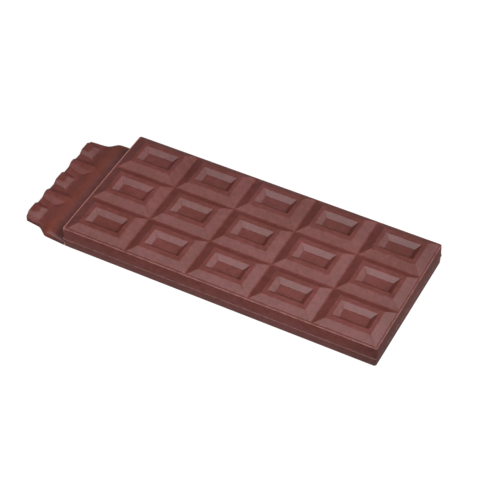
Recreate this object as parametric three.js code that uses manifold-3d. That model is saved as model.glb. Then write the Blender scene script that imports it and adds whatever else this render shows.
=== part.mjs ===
// A toy bar of chocolate, cast in one piece: a slab of bevelled segments, each with a sunken
// window in its top, and at one end the pinched and crimped end of a wrapper.
//
// Millimetres, +Z up. The bar lies on its flat underside, +X runs along it to the plain end, and
// the origin is the middle of the underside's bounding rectangle.

import * as THREE from "three";
import { mergeVertices } from "three/addons/utils/BufferGeometryUtils.js";
import Module from "manifold-3d";

// Slab, measured over the seam that the two halves of its mould leave round the sides
const SLAB_LENGTH = 135.2;
const SLAB_WIDTH = 61;
const SLAB_HEIGHT = 9.8; // underside to rim
const SEAM_HEIGHT = 4.2; // underside to the middle of the seam
const SEAM_THICKNESS = 0.3;
const SEAM_PROUD = 0.18; // how far the seam stands out of the side
const UPPER_LEAN = 0.16; // how far the side leans in from the seam up to the rim
const LOWER_LEAN = 0.15; // and from the seam down to the underside
const CORNER_RADIUS = 1;
const EDGE_RADIUS = 0.4;
const RIM_WIDTH = 1; // flat border round the field of segments

// Segments
const COLUMNS = 5;
const ROWS = 3;
const SEGMENT_LENGTH = 26.67; // pitch along the bar
const SEGMENT_WIDTH = 20; // pitch across the bar
const SEGMENT_HEIGHT = 2.1; // rim to the top of a segment
const FIELD_SHIFT = 0.3; // the field of segments sits this far towards the plain end
const GROOVE_WIDTH = 0.5; // flat bottom of the groove between two segments
const TOP_LENGTH = 18.4;
const TOP_WIDTH = 12.8;
const WINDOW_LENGTH = 15;
const WINDOW_WIDTH = 8.6;
const WINDOW_WALL = 2; // how far the window's walls slope in on their way down
const WINDOW_DEPTH = 2;

// Wrapper end, with distances outwards from the slab and heights from the underside
const WRAPPER_LENGTH = 20.6;
const MOUTH_HALF_WIDTH = 29.9; // where it leaves the slab
const MOUTH_HEIGHT = 2.6;
const SHOULDER_OUT = 9.5;
const SHOULDER_HALF_WIDTH = 29.2;
const FOLD_OUT = 7.9; // soft fold across the wrapper, just inside the shoulders
const FOLD_HEIGHT = 3.95;
const NECK_OUT = 13.5;
const NECK_HALF_WIDTH = 26;
const NECK_HEIGHT = 2.1;
const END_HALF_WIDTH = 25.1;
const END_HEIGHT = 2.5;
const PLAN_ROUNDING = 0.9; // length taken off each side of a corner of the outline
const CROWN_FLAT = 0.5; // share of its width that is level in section, as far as the fold
const CRIMP_FLAT = 0.96; // and from the neck on
const CROWN_ROUNDING = 3; // how square its sides are rounded: 2 is a quarter of an ellipse
const CRIMP_ROUNDING = 2;

// Crests of the crimp: broad ones that stop short of the neck, and between them narrow ones
// that run in to the fold. Each top has a near and a far edge, measured across from the crest's
// middle at the free end, and a drift, by which they move over for each millimetre inwards.
const CREST_COUNT = 5;
const CREST_PITCH = 10;
const CREST_HEIGHT = 3.8;
const BROAD_TOP = [-2.5, 2.05];
const BROAD_DRIFT = [0, -0.25];
const BROAD_FLANK = 1.3; // millimetres sideways for each millimetre down
const BROAD_TOP_LENGTH = 3.8;
const BROAD_NOSE = 1.4; // the same slope at its inner end
const NARROW_TOP = [-0.8, 0.7];
const NARROW_DRIFT = [-0.12, 0];
const NARROW_FLANK = 1.7;

const OVERLAP = 1; // how deep joined pieces reach into each other
const MARGIN = 0.1; // how far the wrapper's body reaches past the outline it is cut to
const CREST_ROOT = 0.3; // height of the crests' hidden lower face
const WRAPPER_STEPS_ALONG = 24;
const WRAPPER_STEPS_ACROSS = 28;

const SLAB_END_X = -SLAB_LENGTH / 2; // the slab's face at the wrapper, with the slab's middle at x = 0

const wasm = await Module();
wasm.setup();

// A closed three.js geometry as a solid that can be joined and cut
function solid(geometry) {
  const bare = geometry.clone();
  bare.deleteAttribute("normal");
  bare.deleteAttribute("uv");
  const merged = mergeVertices(bare);
  return new wasm.Manifold(
    new wasm.Mesh({
      numProp: 3,
      vertProperties: new Float32Array(merged.attributes.position.array),
      triVerts: new Uint32Array(merged.index.array),
    }),
  );
}

// A solid as a three.js geometry with flat faces
function facets(body) {
  const mesh = body.getMesh();
  const geometry = new THREE.BufferGeometry();
  geometry.setAttribute("position", new THREE.BufferAttribute(mesh.vertProperties, mesh.numProp));
  geometry.setIndex(new THREE.BufferAttribute(mesh.triVerts, 1));
  const flat = geometry.toNonIndexed();
  flat.computeVertexNormals();
  return flat;
}

// A block whose upper and lower faces are two upright rectangles of different size
function taperedBlock(low, high) {
  const geometry = new THREE.BoxGeometry(1, 1, 1);
  const position = geometry.attributes.position;
  for (let i = 0; i < position.count; i += 1) {
    const face = position.getZ(i) > 0 ? high : low;
    const x = position.getX(i) > 0 ? face.x[1] : face.x[0];
    const y = position.getY(i) > 0 ? face.y[1] : face.y[0];
    position.setXYZ(i, x, y, face.z);
  }
  return solid(geometry);
}

// A centred rectangle of a tapered block
function rectangle(x, y, z, length, width) {
  return { x: [x - length / 2, x + length / 2], y: [y - width / 2, y + width / 2], z };
}

// A closed outline through the corners, each rounded by a curve that starts a set length away
function roundedOutline(corners, rounding) {
  const shape = new THREE.Shape();
  corners.forEach((corner, i) => {
    const before = corners.at(i - 1);
    const after = corners[(i + 1) % corners.length];
    const start = corner.clone().lerp(before, rounding / corner.distanceTo(before));
    const end = corner.clone().lerp(after, rounding / corner.distanceTo(after));
    if (i === 0) {
      shape.moveTo(start.x, start.y);
    } else {
      shape.lineTo(start.x, start.y);
    }
    shape.quadraticCurveTo(corner.x, corner.y, end.x, end.y);
  });
  shape.closePath();
  return shape;
}

function slabOutline(inset) {
  const x = SLAB_LENGTH / 2 - inset;
  const y = SLAB_WIDTH / 2 - inset;
  const corners = [
    new THREE.Vector2(-x, -y),
    new THREE.Vector2(x, -y),
    new THREE.Vector2(x, y),
    new THREE.Vector2(-x, y),
  ];
  return roundedOutline(corners, CORNER_RADIUS);
}

// The slab without its segments: rounded edges, and sides that lean in from the seam both ways
function slabCore() {
  const geometry = new THREE.ExtrudeGeometry(slabOutline(SEAM_PROUD), {
    depth: SLAB_HEIGHT - 2 * EDGE_RADIUS,
    steps: 2,
    curveSegments: 4,
    bevelThickness: EDGE_RADIUS,
    bevelSize: EDGE_RADIUS,
    bevelOffset: -EDGE_RADIUS,
    bevelSegments: 3,
  });
  geometry.translate(0, 0, EDGE_RADIUS);
  const position = geometry.attributes.position;
  const halfHeight = SLAB_HEIGHT / 2;
  for (let i = 0; i < position.count; i += 1) {
    const level = position.getZ(i);
    const atMiddle = Math.abs(level - halfHeight) < EDGE_RADIUS;
    const z = atMiddle ? SEAM_HEIGHT : level;
    const lean =
      z > SEAM_HEIGHT
        ? THREE.MathUtils.mapLinear(z, SEAM_HEIGHT, SLAB_HEIGHT, 0, UPPER_LEAN)
        : THREE.MathUtils.mapLinear(z, SEAM_HEIGHT, 0, 0, LOWER_LEAN);
    const x = position.getX(i);
    const y = position.getY(i);
    position.setXYZ(i, x - Math.sign(x) * lean, y - Math.sign(y) * lean, z);
  }
  return solid(geometry);
}

function seam() {
  const geometry = new THREE.ExtrudeGeometry(slabOutline(0), {
    depth: SEAM_THICKNESS,
    curveSegments: 4,
    bevelEnabled: false,
  });
  geometry.translate(0, 0, SEAM_HEIGHT - SEAM_THICKNESS / 2);
  return solid(geometry);
}

// Middles of the segments
function segmentCentres() {
  const centres = [];
  for (let column = 0; column < COLUMNS; column += 1) {
    for (let row = 0; row < ROWS; row += 1) {
      const x = FIELD_SHIFT + (column - (COLUMNS - 1) / 2) * SEGMENT_LENGTH;
      const y = (row - (ROWS - 1) / 2) * SEGMENT_WIDTH;
      centres.push(new THREE.Vector2(x, y));
    }
  }
  return centres;
}

// One raised segment, reaching down into the slab at the slope of its bevels
function segment(centre) {
  const footLength = SEGMENT_LENGTH - GROOVE_WIDTH;
  const footWidth = SEGMENT_WIDTH - GROOVE_WIDTH;
  const growth = (SEGMENT_HEIGHT + OVERLAP) / SEGMENT_HEIGHT;
  const rootLength = TOP_LENGTH + (footLength - TOP_LENGTH) * growth;
  const rootWidth = TOP_WIDTH + (footWidth - TOP_WIDTH) * growth;
  return taperedBlock(
    rectangle(centre.x, centre.y, SLAB_HEIGHT - OVERLAP, rootLength, rootWidth),
    rectangle(centre.x, centre.y, SLAB_HEIGHT + SEGMENT_HEIGHT, TOP_LENGTH, TOP_WIDTH),
  );
}

// The sunken window of one segment, as the body that is cut away
function windowCut(centre) {
  const top = SLAB_HEIGHT + SEGMENT_HEIGHT;
  const growth = (WINDOW_DEPTH + OVERLAP) / WINDOW_DEPTH;
  const floorLength = WINDOW_LENGTH - 2 * WINDOW_WALL;
  const floorWidth = WINDOW_WIDTH - 2 * WINDOW_WALL;
  const mouthLength = floorLength + (WINDOW_LENGTH - floorLength) * growth;
  const mouthWidth = floorWidth + (WINDOW_WIDTH - floorWidth) * growth;
  return taperedBlock(
    rectangle(centre.x, centre.y, top - WINDOW_DEPTH, floorLength, floorWidth),
    rectangle(centre.x, centre.y, top + OVERLAP, mouthLength, mouthWidth),
  );
}

// All raised segments, their outer bevels cut off upright along the rim
function segmentField() {
  const border = SEAM_PROUD + UPPER_LEAN + RIM_WIDTH;
  const fieldLength = SLAB_LENGTH - 2 * border;
  const fieldWidth = SLAB_WIDTH - 2 * border;
  const limits = taperedBlock(
    rectangle(0, 0, SLAB_HEIGHT - OVERLAP / 2, fieldLength, fieldWidth),
    rectangle(0, 0, SLAB_HEIGHT + SEGMENT_HEIGHT + OVERLAP, fieldLength, fieldWidth),
  );
  const segments = segmentCentres().map(segment);
  return segments.reduce((field, next) => field.add(next)).intersect(limits);
}

// Half width of the wrapper end at a distance out from the slab
function wrapperHalfWidth(out) {
  if (out < SHOULDER_OUT) {
    return THREE.MathUtils.mapLinear(out, 0, SHOULDER_OUT, MOUTH_HALF_WIDTH, SHOULDER_HALF_WIDTH);
  }
  if (out < NECK_OUT) {
    return THREE.MathUtils.mapLinear(out, SHOULDER_OUT, NECK_OUT, SHOULDER_HALF_WIDTH, NECK_HALF_WIDTH);
  }
  return THREE.MathUtils.mapLinear(out, NECK_OUT, WRAPPER_LENGTH, NECK_HALF_WIDTH, END_HALF_WIDTH);
}

// The wrapper end without its crests: a soft body that rises to the fold, dips at the neck and
// runs out flat, a little larger all round than its outline
function wrapperBody() {
  const crown = new THREE.SplineCurve([
    new THREE.Vector2(-OVERLAP, MOUTH_HEIGHT),
    new THREE.Vector2(FOLD_OUT / 2, (MOUTH_HEIGHT + FOLD_HEIGHT) / 2),
    new THREE.Vector2(FOLD_OUT, FOLD_HEIGHT),
    new THREE.Vector2(NECK_OUT - OVERLAP / 2, NECK_HEIGHT),
    new THREE.Vector2(WRAPPER_LENGTH + OVERLAP, END_HEIGHT),
  ]);
  const stations = crown.getPoints(WRAPPER_STEPS_ALONG);
  const geometry = new THREE.BoxGeometry(1, 2, 1, WRAPPER_STEPS_ALONG, WRAPPER_STEPS_ACROSS, 1);
  const position = geometry.attributes.position;
  for (let i = 0; i < position.count; i += 1) {
    const station = stations[Math.round((0.5 - position.getX(i)) * WRAPPER_STEPS_ALONG)];
    const across = Math.sin((position.getY(i) * Math.PI) / 2);
    const pinch = THREE.MathUtils.smoothstep(station.x, FOLD_OUT, NECK_OUT);
    const level = THREE.MathUtils.lerp(CROWN_FLAT, CRIMP_FLAT, pinch);
    const power = THREE.MathUtils.lerp(CROWN_ROUNDING, CRIMP_ROUNDING, pinch);
    const round = Math.max(0, Math.abs(across) - level) / (1 - level);
    const fall = (1 - round ** power) ** (1 / power);
    const z = position.getZ(i) > 0 ? MARGIN + (station.y - MARGIN) * fall : 0;
    position.setXYZ(i, SLAB_END_X - station.x, across * (wrapperHalfWidth(station.x) + MARGIN), z);
  }
  return solid(geometry);
}

// One crest of the crimp, its root hidden in the wrapper's body
function crest(number) {
  const middle = (number - (CREST_COUNT - 1) / 2) * CREST_PITCH;
  const isBroad = number % 2 === 0;
  const top = isBroad ? BROAD_TOP : NARROW_TOP;
  const drift = isBroad ? BROAD_DRIFT : NARROW_DRIFT;
  const flank = isBroad ? BROAD_FLANK : NARROW_FLANK;
  const geometry = new THREE.BoxGeometry(1, 1, 1);
  const position = geometry.attributes.position;
  for (let i = 0; i < position.count; i += 1) {
    const depth = position.getZ(i) > 0 ? 0 : CREST_HEIGHT - CREST_ROOT;
    const innerEnd = isBroad ? BROAD_TOP_LENGTH + BROAD_NOSE * depth : WRAPPER_LENGTH - FOLD_OUT;
    const inwards = position.getX(i) > 0 ? innerEnd : -OVERLAP;
    const side = position.getY(i) > 0 ? 1 : 0;
    const spread = position.getY(i) > 0 ? flank * depth : -flank * depth;
    const y = middle + top[side] + drift[side] * inwards + spread;
    position.setXYZ(i, SLAB_END_X - WRAPPER_LENGTH + inwards, y, CREST_HEIGHT - depth);
  }
  return solid(geometry);
}

// Everything above the wrapper's outline, as tall as the slab
function wrapperLimits() {
  const side = [
    new THREE.Vector2(SLAB_END_X + OVERLAP / 2, MOUTH_HALF_WIDTH),
    new THREE.Vector2(SLAB_END_X - SHOULDER_OUT, SHOULDER_HALF_WIDTH),
    new THREE.Vector2(SLAB_END_X - NECK_OUT, NECK_HALF_WIDTH),
    new THREE.Vector2(SLAB_END_X - WRAPPER_LENGTH, END_HALF_WIDTH),
  ];
  const otherSide = side.map((corner) => new THREE.Vector2(corner.x, -corner.y)).reverse();
  const outline = roundedOutline([...side, ...otherSide], PLAN_ROUNDING);
  const geometry = new THREE.ExtrudeGeometry(outline, {
    depth: SLAB_HEIGHT,
    curveSegments: 4,
    bevelEnabled: false,
  });
  return solid(geometry);
}

function wrapperEnd() {
  const crests = Array.from({ length: CREST_COUNT }, (_, number) => crest(number));
  return crests.reduce((body, next) => body.add(next), wrapperBody()).intersect(wrapperLimits());
}

function chocolateBar() {
  const uncut = slabCore().add(seam()).add(segmentField()).add(wrapperEnd());
  const body = segmentCentres().map(windowCut).reduce((bar, cut) => bar.subtract(cut), uncut);
  const material = new THREE.MeshStandardMaterial({ color: 0x743e3a, roughness: 0.5, metalness: 0 });
  const mesh = new THREE.Mesh(facets(body), material);
  mesh.name = "chocolate_bar";
  mesh.position.x = WRAPPER_LENGTH / 2;
  return mesh;
}

const bar = new THREE.Group();
bar.add(chocolateBar());

export default bar;
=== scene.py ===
import math

import bmesh
import bpy
from mathutils import Matrix, Vector


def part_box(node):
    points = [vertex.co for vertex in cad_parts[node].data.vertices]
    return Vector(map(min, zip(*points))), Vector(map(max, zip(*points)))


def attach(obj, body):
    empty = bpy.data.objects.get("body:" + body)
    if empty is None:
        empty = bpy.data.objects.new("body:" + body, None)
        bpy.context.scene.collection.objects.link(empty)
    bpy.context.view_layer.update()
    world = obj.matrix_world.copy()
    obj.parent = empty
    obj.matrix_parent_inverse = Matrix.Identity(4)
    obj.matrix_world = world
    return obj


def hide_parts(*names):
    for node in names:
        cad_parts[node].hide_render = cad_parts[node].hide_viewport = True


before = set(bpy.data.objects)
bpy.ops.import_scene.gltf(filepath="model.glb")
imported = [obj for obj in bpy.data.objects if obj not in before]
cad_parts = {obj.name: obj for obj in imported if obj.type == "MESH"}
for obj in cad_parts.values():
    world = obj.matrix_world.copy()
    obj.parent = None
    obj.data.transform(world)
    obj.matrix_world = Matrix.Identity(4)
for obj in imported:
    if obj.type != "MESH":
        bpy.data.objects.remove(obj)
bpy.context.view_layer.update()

# A toy bar of chocolate, cast in one piece with the pinched, crimped end of its wrapper.
# Lengths are millimetres here, and each finished mesh is scaled to metres.
MM = 0.001
BAR_LOW, BAR_HIGH = (Vector(corner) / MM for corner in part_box("chocolate_bar"))

# Slab
SLAB_LENGTH = 135.2
SLAB_WIDTH = BAR_HIGH.y - BAR_LOW.y
SEGMENT_HEIGHT = 2.1
RIM_HEIGHT = BAR_HIGH.z - SEGMENT_HEIGHT
SLAB_MIDDLE = BAR_HIGH.x - SLAB_LENGTH / 2
LEFT_END = SLAB_MIDDLE - SLAB_LENGTH / 2
SEAM_HEIGHT = 4.2
SEAM_THICKNESS = 0.3
SEAM_PROUD = 0.18
SEAM_TAPER = 0.4  # thickness of the seam's outer edge against its root
UPPER_LEAN = 0.16
LOWER_LEAN = 0.15
CORNER_RADIUS = 1.0
EDGE_RADIUS = 0.4
RIM_WIDTH = 1.0

# Segments
COLUMNS = 5
ROWS = 3
SEGMENT_LENGTH = 26.67
SEGMENT_WIDTH = 20.0
FIELD_SHIFT = 0.3
GROOVE_WIDTH = 0.5
TOP_LENGTH = 18.4
TOP_WIDTH = 12.8
WINDOW_LENGTH = 15.0
WINDOW_WIDTH = 8.6
WINDOW_WALL = 2.0
WINDOW_DEPTH = 2.0
CREASE_ROUNDING = 0.22  # how far from a crease its rounding begins
FLAT_ANGLE = math.radians(5)
FLUSH = 1e-4  # heights nearer than this are the same
# Step down from the segments' cut bevels to the rim: distance outwards, share of the height left
STEP_DOWN = ((0.05, 0.9), (0.1, 0.62), (0.14, 0.25), (0.22, 0.06), (0.32, 0.0))

# Wrapper end: distances outwards from the slab
WRAPPER_LENGTH = BAR_HIGH.x - BAR_LOW.x - SLAB_LENGTH
MOUTH_HALF_WIDTH = 29.9
MOUTH_HEIGHT = 2.6
SHOULDER_OUT = 9.5
SHOULDER_HALF_WIDTH = 29.2
FOLD_OUT = 7.9
FOLD_HEIGHT = 3.95
NECK_OUT = 13.5
NECK_HALF_WIDTH = 26.0
NECK_HEIGHT = 2.1
PINCH_END = NECK_OUT + 0.5
END_HALF_WIDTH = 25.1
END_HEIGHT = 2.5
PLAN_ROUNDING = 0.7
CROWN_FLAT = 0.5
CRIMP_FLAT = 0.96
CROWN_ROUNDING = 3.0
CRIMP_ROUNDING = 2.0
CREST_COUNT = 5
CREST_PITCH = 10.0
CREST_HEIGHT = 3.8
# Where a crest's top begins and ends across, and how much further for each millimetre inwards
BROAD_TOP = (-2.5, 2.05)
BROAD_DRIFT = (0.0, -0.25)
BROAD_FLANK = 1.3
BROAD_TOP_LENGTH = 3.8
BROAD_NOSE = 1.4
NARROW_TOP = (-0.8, 0.7)
NARROW_DRIFT = (-0.12, 0.0)
NARROW_FLANK = 1.7
NARROW_TOP_LENGTH = WRAPPER_LENGTH - FOLD_OUT
NARROW_NOSE = 0.8
ROOT = 1.0  # how far the wrapper end reaches into the slab
FOLD_SOFTNESS = 0.2  # rounding where two faces of the crimp meet
WRAPPER_EDGE = 0.4
WRAPPER_THINNEST = 0.25
WRAPPER_STEPS_ALONG = 96
WRAPPER_STEPS_ACROSS = 260
CROWDING_ALONG = 0.6
CROWDING_ACROSS = 0.5

# Skin: linear colours, and the sizes and reliefs of its patterns in millimetres
BROWN_DEEP = (0.180, 0.0435, 0.031)
BROWN_PALE = (0.242, 0.065, 0.059)
# Painted shade: a darker brown in the creases, where shade falls
BROWN_CREASE_SHADE = (0.12, 0.024, 0.017)
# Painted shade: a near-black brown over the far row, the plain end and its near corner, and the wrapper
# beside the slab
BROWN_PAINTED_SHADE = (0.02, 0.004, 0.003)
# Painted light: a paler, warmer brown on the lit fold of the wrapper
BROWN_FOLD_LIGHT = (0.30, 0.068, 0.030)
# Painted reflection: the grey of the pale floor, low on the slab's sides
BROWN_FLOOR_REFLECTION = (0.19, 0.20, 0.21)
# Painted highlight: a pale brown along the rounded edges
BROWN_EDGE_HIGHLIGHT = (0.50, 0.24, 0.21)
# Painted highlight: a paler brown still along the left rim
BROWN_LEFT_RIM_HIGHLIGHT = (0.78, 0.38, 0.33)
CLOUD_SIZE = 14.0
FLECK_SIZE = 2.2
GRAIN_SIZE = 0.7
WAVE_SIZE = 9.0
CLOUD_PART = 0.3
FLECK_PART = 0.4
GRAIN_PART = 0.3
GRAIN_RELIEF = 0.010
WAVE_RELIEF = 0.035
ROUGHNESS = 0.25
FLECK_ROUGHNESS = 0.08
GRAIN_ROUGHNESS = 0.05
EDGE_SMOOTHNESS = 0.05
SPECULAR_LEVEL = 0.64
SPECULAR_TINT = (0.83, 0.95, 1.0)
NARROW = 0.35  # faces narrower than this belong to a rounded edge or crease

# How strongly each brown covers the one below it; most of these browns are painted shade, light,
# reflection or highlight
# Cover of the painted shade in the creases
CREASE_SHADE_COVER = 0.5
# Covers of painted shade: the far row, the plain end, its near corner and the wrapper beside the slab
FAR_ROW_COVER = 0.15
PLAIN_END_COVER = 0.1
CORNER_COVER = 0.25
MOUTH_COVER = 0.08
MOUTH_SIDE_COVER = 0.4
# Cover of the painted light on the fold
FOLD_LIGHT_COVER = 0.3
# Cover of the painted reflection of the floor
FLOOR_REFLECTION_COVER = 0.13
# Covers of the painted highlights on the rounded edges
EDGE_HIGHLIGHT_COVER = 0.5
EDGE_HIGHLIGHT_LESS_ON_WRAPPER = 0.35

# Where on the bar they begin and where they are full, in millimetres along one axis
ON_WRAPPER = (LEFT_END + 0.2, LEFT_END)
FAR_ROW = (8, 24)
FAR_ROW_END = (28, 26)
PLAIN_END = (SLAB_MIDDLE + 48, SLAB_MIDDLE + 68)
NEAR_HALF = (0, -25)
BELOW_RIM = (RIM_HEIGHT - 0.3, RIM_HEIGHT - 0.8)
MOUTH = (LEFT_END - 8, LEFT_END - 2)
MOUTH_SIDE = (-18, -28)
FOLD = (LEFT_END - 14, LEFT_END - 9)
FOLD_END = (LEFT_END - 4, LEFT_END - 7.5)
LOW_ON_SIDES = (RIM_HEIGHT, 1)
LEFT_RIM = (LEFT_END + 1.2, LEFT_END + 0.8)
LEFT_RIM_END = (LEFT_END, LEFT_END + 0.1)

# Which values of the noted bulge, and of the patterns, count
# Bulges that take the painted highlights on edges and left rim, and the painted shade in creases
BULGE_EDGE_HIGHLIGHT = (0.15, 0.6)
BULGE_LEFT_RIM_HIGHLIGHT = (0.1, 0.3)
BULGE_CREASE_SHADE = (-0.03, -0.3)
FLECK_EDGE_HIGHLIGHT = (0.2, 0.6)
MOTTLED = (0.38, 0.62)

# Studio: metres, watts and degrees
CAMERA_LENS = 125.3
CAMERA_AIM = (0.0116, -0.00375, 0.00617)
CAMERA_AZIMUTH = 27.615
CAMERA_ELEVATION = 45.867
CAMERA_DISTANCE = 0.67345
SOFTBOX_SIZE = 0.6
SOFTBOX_DISTANCE = 0.7
SOFTBOXES = (  # name, azimuth, elevation, power
    ("near softbox", 0, 42, 1.7),
    ("left softbox", 330, 42, 0.85),
    ("right softbox", 110, 40, 2.25),
    ("side softbox", 50, 30, 1.7),
    ("back softbox", 180, 60, 0.22),
)
ROOM_STRENGTH = 0.128
FLOOR_HALF_SIZE = 3.0
FLOOR_DROP = 0.0002
FLOOR_ALBEDO = 0.3
FLOOR_GLOW = 0.85


def box_scale(bm, verts, factors, centre=(0.0, 0.0, 0.0)):
    bmesh.ops.scale(bm, vec=factors, space=Matrix.Translation(-Vector(centre)), verts=verts)


def round_edges(bm, edges, reach, segments):
    """Rounds edges, from that far to either side of them."""
    return bmesh.ops.bevel(
        bm, geom=edges, offset=reach, offset_type="OFFSET", segments=segments, profile=0.5,
        affect="EDGES", clamp_overlap=False, material=-1,
    )


def at_height(edge, z):
    return all(abs(vert.co.z - z) < FLUSH for vert in edge.verts)


def step_in(bm, cells, length, width, rise):
    """Gives each rectangular cell a ring, and leaves inside it a face of that size, that much higher."""
    bmesh.ops.inset_individual(bm, faces=cells, thickness=GROOVE_WIDTH / 2, use_even_offset=True)
    for cell in cells:
        xs = [vert.co.x for vert in cell.verts]
        ys = [vert.co.y for vert in cell.verts]
        factors = (length / (max(xs) - min(xs)), width / (max(ys) - min(ys)), 1.0)
        box_scale(bm, cell.verts, factors, cell.calc_center_median())
        bmesh.ops.translate(bm, vec=(0, 0, rise), verts=cell.verts)


def trim(bm, axis, limit):
    """Cuts off what lies beyond a limit on both sides of the middle."""
    for side in (-1, 1):
        facing = Vector((0, 0, 0))
        facing[axis] = side
        bmesh.ops.bisect_plane(
            bm, geom=bm.verts[:] + bm.edges[:] + bm.faces[:],
            plane_co=facing * limit, plane_no=facing, clear_outer=True,
        )


def segment_field():
    """The segments as one open sheet, with soft creases, that ends level with the rim."""
    bm = bmesh.new()
    bmesh.ops.create_grid(bm, x_segments=COLUMNS, y_segments=ROWS, size=0.5)
    box_scale(bm, bm.verts, (COLUMNS * SEGMENT_LENGTH, ROWS * SEGMENT_WIDTH, 1))
    cells = bm.faces[:]
    step_in(bm, cells, SEGMENT_LENGTH - GROOVE_WIDTH, SEGMENT_WIDTH - GROOVE_WIDTH, 0)
    step_in(bm, cells, TOP_LENGTH, TOP_WIDTH, SEGMENT_HEIGHT)
    step_in(bm, cells, WINDOW_LENGTH, WINDOW_WIDTH, 0)
    step_in(bm, cells, WINDOW_LENGTH - 2 * WINDOW_WALL, WINDOW_WIDTH - 2 * WINDOW_WALL, -WINDOW_DEPTH)
    creases = [e for e in bm.edges if not e.is_boundary and abs(e.calc_face_angle()) > FLAT_ANGLE]
    round_edges(bm, creases, CREASE_ROUNDING, 3)
    bmesh.ops.translate(bm, vec=(FIELD_SHIFT, 0, 0), verts=bm.verts)
    border = SEAM_PROUD + UPPER_LEAN + RIM_WIDTH
    half_length = SLAB_LENGTH / 2 - border
    half_width = SLAB_WIDTH / 2 - border
    trim(bm, 0, half_length)
    trim(bm, 1, half_width)
    out_before, share_before = 0.0, 1.0
    for out, share in STEP_DOWN:
        edges = [e for e in bm.edges if e.is_boundary]
        grown = bmesh.ops.extrude_edge_only(bm, edges=edges)["geom"]
        verts = [part for part in grown if isinstance(part, bmesh.types.BMVert)]
        along = (half_length + out) / (half_length + out_before)
        across = (half_width + out) / (half_width + out_before)
        box_scale(bm, verts, (along, across, share / share_before))
        out_before, share_before = out, share
    bmesh.ops.translate(bm, vec=(0, 0, RIM_HEIGHT), verts=bm.verts)
    return bm


def slab():
    """The slab, without the middle of its top: upright corners rounded, and a seam all round."""
    bm = bmesh.new()
    bmesh.ops.create_cube(bm, size=1)
    length, width = SLAB_LENGTH - 2 * SEAM_PROUD, SLAB_WIDTH - 2 * SEAM_PROUD
    box_scale(bm, bm.verts, (length, width, RIM_HEIGHT))
    bmesh.ops.translate(bm, vec=(0, 0, RIM_HEIGHT / 2), verts=bm.verts)
    upright = [e for e in bm.edges if abs(e.verts[0].co.z - e.verts[1].co.z) > 1]
    round_edges(bm, upright, CORNER_RADIUS, 6)
    seam_edges = (SEAM_HEIGHT - SEAM_THICKNESS / 2, SEAM_HEIGHT + SEAM_THICKNESS / 2)
    for level in seam_edges:
        bmesh.ops.bisect_plane(
            bm, geom=bm.verts[:] + bm.edges[:] + bm.faces[:], plane_co=(0, 0, level), plane_no=(0, 0, 1)
        )
    for level, lean in ((0, LOWER_LEAN), (RIM_HEIGHT, UPPER_LEAN)):
        verts = [v for v in bm.verts if abs(v.co.z - level) < FLUSH]
        box_scale(bm, verts, (1 - 2 * lean / length, 1 - 2 * lean / width, 1))
    for level in (0, RIM_HEIGHT):
        round_edges(bm, [e for e in bm.edges if at_height(e, level)], EDGE_RADIUS, 4)
    band = [f for f in bm.faces if seam_edges[0] < f.calc_center_median().z < seam_edges[1]]
    grown = bmesh.ops.extrude_face_region(bm, geom=band)["geom"]
    bmesh.ops.delete(bm, geom=[f for f in band if f.is_valid], context="FACES")
    outer = [part for part in grown if isinstance(part, bmesh.types.BMVert)]
    box_scale(bm, outer, (SLAB_LENGTH / length, SLAB_WIDTH / width, SEAM_TAPER), (0, 0, SEAM_HEIGHT))
    top = [f for f in bm.faces if f.calc_center_median().z > RIM_HEIGHT - FLUSH]
    bmesh.ops.delete(bm, geom=top, context="FACES_ONLY")
    return bm


def smooth_max(a, b, softness):
    overlap = max(softness - abs(a - b), 0) / softness
    return max(a, b) + overlap * overlap * softness / 4


def smooth_step(value, start, end):
    share = min(max((value - start) / (end - start), 0), 1)
    return share * share * (3 - 2 * share)


def blend(value, start, end, first, last):
    return first + (last - first) * min(max((value - start) / (end - start), 0), 1)


def wrapper_half_width(out):
    """Half width of the wrapper end at a distance out from the slab."""
    to_shoulder = blend(out, 0, SHOULDER_OUT, MOUTH_HALF_WIDTH, SHOULDER_HALF_WIDTH)
    slope = (NECK_HALF_WIDTH - SHOULDER_HALF_WIDTH) / (NECK_OUT - SHOULDER_OUT)
    to_neck = SHOULDER_HALF_WIDTH + slope * (out - SHOULDER_OUT)
    end_slope = (END_HALF_WIDTH - NECK_HALF_WIDTH) / (WRAPPER_LENGTH - NECK_OUT)
    to_end = NECK_HALF_WIDTH + end_slope * (out - NECK_OUT)
    half = -smooth_max(-to_shoulder, -smooth_max(to_neck, to_end, PLAN_ROUNDING), PLAN_ROUNDING)
    past = max(out - (WRAPPER_LENGTH - PLAN_ROUNDING), 0)
    return half - PLAN_ROUNDING + math.sqrt(max(PLAN_ROUNDING**2 - past**2, 0))


def crest_height(number, out, y):
    """Height of one crest of the crimp, or of its flanks and nose carried on downwards."""
    is_broad = number % 2 == 0
    top = BROAD_TOP if is_broad else NARROW_TOP
    drift = BROAD_DRIFT if is_broad else NARROW_DRIFT
    flank = BROAD_FLANK if is_broad else NARROW_FLANK
    length = BROAD_TOP_LENGTH if is_broad else NARROW_TOP_LENGTH
    nose = BROAD_NOSE if is_broad else NARROW_NOSE
    inwards = WRAPPER_LENGTH - out
    across = y - (number - (CREST_COUNT - 1) / 2) * CREST_PITCH
    aside = max(top[0] + drift[0] * inwards - across, across - top[1] - drift[1] * inwards)
    fall = smooth_max(0, aside / flank, FOLD_SOFTNESS)
    fall = smooth_max(fall, (inwards - length) / nose, FOLD_SOFTNESS)
    return CREST_HEIGHT - fall


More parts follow.
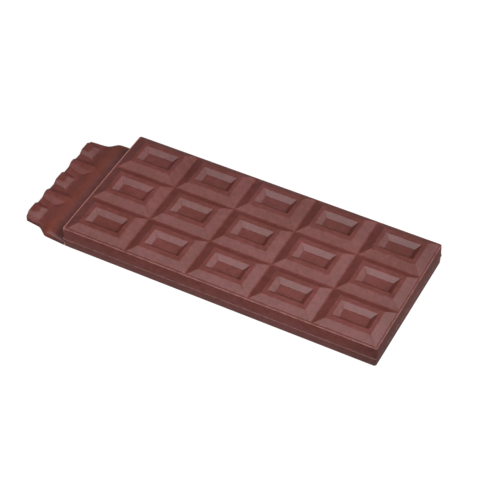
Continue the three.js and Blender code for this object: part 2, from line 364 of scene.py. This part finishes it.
def wrapper_height(out, y, half_width):
    """Height of the wrapper end's top over a point."""
    rise = smooth_step(out, -ROOT, FOLD_OUT)
    pinch = smooth_step(out, FOLD_OUT, PINCH_END)
    crown = MOUTH_HEIGHT + (FOLD_HEIGHT - MOUTH_HEIGHT) * rise + (NECK_HEIGHT - FOLD_HEIGHT) * pinch
    crown += (END_HEIGHT - NECK_HEIGHT) * smooth_step(out, NECK_OUT, WRAPPER_LENGTH)
    level = CROWN_FLAT + (CRIMP_FLAT - CROWN_FLAT) * pinch
    power = CROWN_ROUNDING + (CRIMP_ROUNDING - CROWN_ROUNDING) * pinch
    round_share = max(0, abs(y) / half_width - level) / (1 - level)
    height = crown * max(1 - round_share**power, 0) ** (1 / power)
    for number in range(CREST_COUNT):
        height = smooth_max(height, crest_height(number, out, y), FOLD_SOFTNESS)
    edge = min(half_width - abs(y), WRAPPER_LENGTH - out, WRAPPER_EDGE)
    dip = WRAPPER_EDGE - math.sqrt(max(WRAPPER_EDGE**2 - (WRAPPER_EDGE - edge) ** 2, 0))
    return max(height - dip, WRAPPER_THINNEST)


def even_out(share, bias):
    """Spreads steps from -1 to 1 so that they crowd towards the ends."""
    return share + (math.sin(share * math.pi / 2) - share) * bias


def wrapper_end():
    """The wrapper end: a fine sheet laid over its folds and crests, closed by walls and an underside."""
    bm = bmesh.new()
    bmesh.ops.create_grid(bm, x_segments=WRAPPER_STEPS_ALONG, y_segments=WRAPPER_STEPS_ACROSS, size=1)
    for vert in bm.verts:
        out = -ROOT + (WRAPPER_LENGTH + ROOT) * even_out((1 - vert.co.x) / 2, CROWDING_ALONG)
        half_width = wrapper_half_width(out)
        y = half_width * even_out(vert.co.y, CROWDING_ACROSS)
        vert.co = (-SLAB_LENGTH / 2 - out, y, wrapper_height(out, y, half_width))
    edges = [e for e in bm.edges if e.is_boundary]
    grown = bmesh.ops.extrude_edge_only(bm, edges=edges)["geom"]
    for part in grown:
        if isinstance(part, bmesh.types.BMVert):
            part.co.z = 0
    bmesh.ops.holes_fill(bm, edges=[e for e in bm.edges if e.is_boundary], sides=0)
    return bm


def gather(bm, other):
    """Adds another mesh's shape to this one."""
    holder = bpy.data.meshes.new("holder")
    other.to_mesh(holder)
    other.free()
    bm.from_mesh(holder)
    bpy.data.meshes.remove(holder)


def is_narrow(face):
    return face.calc_area() < NARROW * max(edge.calc_length() for edge in face.edges)


def note_bulges(bm):
    """Notes on each vertex how sharply the skin turns there: above 0 on an edge, below 0 in a crease."""
    bulge = bm.verts.layers.float.new("bulge")
    for vert in bm.verts:
        if all(is_narrow(face) for face in vert.link_faces):
            turns = [edge.calc_face_angle_signed(0) for edge in vert.link_edges]
            vert[bulge] = max(turns) + min(turns)


def finished(bm, name, material):
    """Moves the shape to its place and scale, and makes it a smooth-shaded object."""
    bmesh.ops.recalc_face_normals(bm, faces=bm.faces)
    note_bulges(bm)
    bmesh.ops.translate(bm, vec=(SLAB_MIDDLE, 0, 0), verts=bm.verts)
    box_scale(bm, bm.verts, (MM, MM, MM))
    for face in bm.faces:
        face.smooth = True
    mesh = bpy.data.meshes.new(name)
    bm.to_mesh(mesh)
    bm.free()
    mesh.materials.append(material)
    piece = bpy.data.objects.new(name, mesh)
    bpy.context.scene.collection.objects.link(piece)
    return piece


def cast_bar(material):
    bm = slab()
    gather(bm, segment_field())
    gap = [e for e in bm.edges if e.is_boundary]
    bmesh.ops.triangle_fill(bm, edges=gap, use_beauty=True, use_dissolve=False, normal=(0, 0, 1))
    gather(bm, wrapper_end())
    piece = finished(bm, "cast_bar", material)
    flatten = piece.modifiers.new("flat faces stay flat", "WEIGHTED_NORMAL")
    flatten.keep_sharp = True
    return piece


class Wire:
    """A shader socket that Python's operators work on, by adding Math nodes."""

    def __init__(self, finish, socket):
        self.finish = finish
        self.socket = socket

    def __add__(self, other):
        return self.finish.math("ADD", self, other)

    def __sub__(self, other):
        return self.finish.math("SUBTRACT", self, other)

    def __rsub__(self, other):
        return self.finish.math("SUBTRACT", other, self)

    def __mul__(self, other):
        return self.finish.math("MULTIPLY", self, other)

    __radd__ = __add__
    __rmul__ = __mul__


def pick(sockets, key):
    """A socket by its place, or by its name among those in use."""
    if isinstance(key, int):
        return sockets[key]
    return next(socket for socket in sockets if socket.enabled and socket.name == key)


class Finish:
    """A material, and the ways in which nodes are added to it."""

    def __init__(self, name):
        self.material = bpy.data.materials.new(name)
        self.material.use_nodes = True
        self.tree = self.material.node_tree
        self.surface = self.tree.nodes["Principled BSDF"]

    def feed(self, socket, value):
        if isinstance(value, Wire):
            self.tree.links.new(value.socket, socket)
        else:
            socket.default_value = value

    def node(self, kind, settings, sockets, output):
        """Adds a node, sets it, feeds its sockets with values or wires, and gives one output."""
        made = self.tree.nodes.new(kind)
        for name, value in settings.items():
            setattr(made, name, value)
        for key, value in sockets.items():
            self.feed(pick(made.inputs, key), value)
        return Wire(self, pick(made.outputs, output))

    def math(self, operation, first, second):
        return self.node("ShaderNodeMath", {"operation": operation}, {0: first, 1: second}, 0)

    def noise(self, place, size, detail):
        sockets = {"Vector": place, "Scale": 1 / (size * MM), "Detail": detail}
        return self.node("ShaderNodeTexNoise", {}, sockets, "Fac")

    def share(self, value, start, end):
        """How far a value is from start to end, kept between 0 and 1."""
        sockets = {"Value": value, "From Min": start, "From Max": end}
        return self.node("ShaderNodeMapRange", {"interpolation_type": "SMOOTHSTEP"}, sockets, "Result")

    def part(self, axis, span):
        """Share of the piece past a span along an axis: 0 where the span begins, 1 from its end on."""
        place = self.node("ShaderNodeTexCoord", {}, {}, "Object")
        level = self.node("ShaderNodeSeparateXYZ", {}, {"Vector": place}, axis)
        return self.share(level, span[0] * MM, span[1] * MM)

    def mix(self, share, first, second):
        sockets = {"Factor": share, "A": first, "B": second}
        return self.node("ShaderNodeMix", {"data_type": "RGBA"}, sockets, "Result")

    def bump(self, height, relief, before=None):
        sockets = {"Height": height, "Distance": relief * MM, "Strength": 1.0}
        if before:
            sockets["Normal"] = before
        return self.node("ShaderNodeBump", {}, sockets, "Normal")


def painted_shade(finish, on_wrapper):
    """Share of painted shade: on the far row, at the plain end and its near corner below the rim, and on
    the wrapper beside the slab.
    """
    far_row = finish.part("Y", FAR_ROW) * finish.part("Y", FAR_ROW_END)
    plain_end = finish.part("X", PLAIN_END)
    corner = plain_end * finish.part("Y", NEAR_HALF) * finish.part("Z", BELOW_RIM)
    mouth = on_wrapper * finish.part("X", MOUTH)
    mouth_cover = MOUTH_COVER + MOUTH_SIDE_COVER * finish.part("Y", MOUTH_SIDE)
    on_slab = far_row * FAR_ROW_COVER + plain_end * PLAIN_END_COVER + corner * CORNER_COVER
    return on_slab + mouth * mouth_cover


def brown_skin():
    """Semi-matt moulded skin: mottled, with painted shade in creases, on the far row, at the plain end
    and beside the slab, painted light on the fold, a painted reflection low on the sides, and painted
    highlights on its edges and left rim.
    """
    finish = Finish("brown_skin")
    place = finish.node("ShaderNodeTexCoord", {}, {}, "Object")
    bulge = finish.node("ShaderNodeAttribute", {"attribute_name": "bulge"}, {}, "Fac")
    cloud = finish.noise(place, CLOUD_SIZE, 2)
    fleck = finish.noise(place, FLECK_SIZE, 3)
    grain = finish.noise(place, GRAIN_SIZE, 1)
    wave = finish.noise(place, WAVE_SIZE, 1)
    on_wrapper = finish.part("X", ON_WRAPPER)
    mottle = finish.share(cloud * CLOUD_PART + fleck * FLECK_PART + grain * GRAIN_PART, *MOTTLED)
    # painted shade in the creases
    crease_shade = finish.share(bulge, *BULGE_CREASE_SHADE)
    # painted light on the wrapper's fold
    fold_light = finish.part("X", FOLD) * finish.part("X", FOLD_END)
    # painted reflection of the floor, low on the slab's sides
    floor_reflection = (1 - on_wrapper) * finish.part("Z", LOW_ON_SIDES)
    # painted highlights along the rounded edges
    edge_highlight = finish.share(bulge, *BULGE_EDGE_HIGHLIGHT) * finish.share(fleck, *FLECK_EDGE_HIGHLIGHT)
    edge_highlight_cover = EDGE_HIGHLIGHT_COVER - on_wrapper * EDGE_HIGHLIGHT_LESS_ON_WRAPPER
    # painted highlight along the left rim
    left_rim_highlight = finish.part("X", LEFT_RIM) * finish.part("X", LEFT_RIM_END)
    left_rim_highlight = left_rim_highlight * finish.share(bulge, *BULGE_LEFT_RIM_HIGHLIGHT)
    colour = finish.mix(mottle, (*BROWN_DEEP, 1), (*BROWN_PALE, 1))
    colour = finish.mix(crease_shade * CREASE_SHADE_COVER, colour, (*BROWN_CREASE_SHADE, 1))
    # painted shade over the far row, the plain end and the wrapper beside the slab
    colour = finish.mix(painted_shade(finish, on_wrapper), colour, (*BROWN_PAINTED_SHADE, 1))
    colour = finish.mix(fold_light * FOLD_LIGHT_COVER, colour, (*BROWN_FOLD_LIGHT, 1))
    colour = finish.mix(floor_reflection * FLOOR_REFLECTION_COVER, colour, (*BROWN_FLOOR_REFLECTION, 1))
    colour = finish.mix(edge_highlight * edge_highlight_cover, colour, (*BROWN_EDGE_HIGHLIGHT, 1))
    colour = finish.mix(left_rim_highlight, colour, (*BROWN_LEFT_RIM_HIGHLIGHT, 1))
    roughness = ROUGHNESS + FLECK_ROUGHNESS * fleck + GRAIN_ROUGHNESS * grain
    roughness = roughness - EDGE_SMOOTHNESS * edge_highlight
    relief = finish.bump(grain, GRAIN_RELIEF, finish.bump(wave, WAVE_RELIEF))
    finish.feed(finish.surface.inputs["Base Color"], colour)
    finish.feed(finish.surface.inputs["Roughness"], roughness)
    finish.feed(finish.surface.inputs["Normal"], relief)
    finish.surface.inputs["Specular IOR Level"].default_value = SPECULAR_LEVEL
    finish.surface.inputs["Specular Tint"].default_value = (*SPECULAR_TINT, 1)
    return finish.material


def seen_from(azimuth, elevation):
    """The way towards a place at those angles; azimuth 0 is the bar's near long side."""
    azimuth, elevation = math.radians(azimuth), math.radians(elevation)
    level = math.cos(elevation)
    return Vector((math.sin(azimuth) * level, -math.cos(azimuth) * level, math.sin(elevation)))


def turned_to(thing, aim, way, distance):
    """Puts a light or a camera at a distance from its aim, and turns it to face it."""
    thing.location = Vector(aim) + way * distance
    thing.rotation_mode = "QUATERNION"
    thing.rotation_quaternion = way.to_track_quat("Z", "Y")
    bpy.context.scene.collection.objects.link(thing)


def softbox(name, azimuth, elevation, power):
    light = bpy.data.lights.new(name, "AREA")
    light.shape = "SQUARE"
    light.size = SOFTBOX_SIZE
    light.energy = power
    holder = bpy.data.objects.new(name, light)
    turned_to(holder, (0, 0, 0), seen_from(azimuth, elevation), SOFTBOX_DISTANCE)


def floor():
    bm = bmesh.new()
    bmesh.ops.create_grid(bm, x_segments=1, y_segments=1, size=FLOOR_HALF_SIZE)
    mesh = bpy.data.meshes.new("floor")
    bm.to_mesh(mesh)
    bm.free()
    material = bpy.data.materials.new("pale_floor")
    material.use_nodes = True
    surface = material.node_tree.nodes["Principled BSDF"]
    surface.inputs["Base Color"].default_value = (FLOOR_ALBEDO, FLOOR_ALBEDO, FLOOR_ALBEDO, 1)
    surface.inputs["Roughness"].default_value = 0.9
    surface.inputs["Specular IOR Level"].default_value = 0.0
    surface.inputs["Emission Color"].default_value = (1, 1, 1, 1)
    surface.inputs["Emission Strength"].default_value = FLOOR_GLOW
    mesh.materials.append(material)
    plane = bpy.data.objects.new("floor", mesh)
    plane.location.z = -FLOOR_DROP
    plane.visible_diffuse = False
    plane.visible_glossy = False
    bpy.context.scene.collection.objects.link(plane)


def camera():
    data = bpy.data.cameras.new("camera")
    data.lens = CAMERA_LENS
    view = bpy.data.objects.new("camera", data)
    turned_to(view, CAMERA_AIM, seen_from(CAMERA_AZIMUTH, CAMERA_ELEVATION), CAMERA_DISTANCE)
    bpy.context.scene.camera = view


def studio():
    world = bpy.data.worlds.new("studio")
    world.use_nodes = True
    world.node_tree.nodes["Background"].inputs["Color"].default_value = (1, 1, 1, 1)
    world.node_tree.nodes["Background"].inputs["Strength"].default_value = ROOM_STRENGTH
    bpy.context.scene.world = world
    for name, azimuth, elevation, power in SOFTBOXES:
        softbox(name, azimuth, elevation, power)
    bpy.context.scene.view_settings.view_transform = "Standard"


camera()
studio()
floor()
bar = cast_bar(brown_skin())
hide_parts("chocolate_bar")
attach(bar, "root")
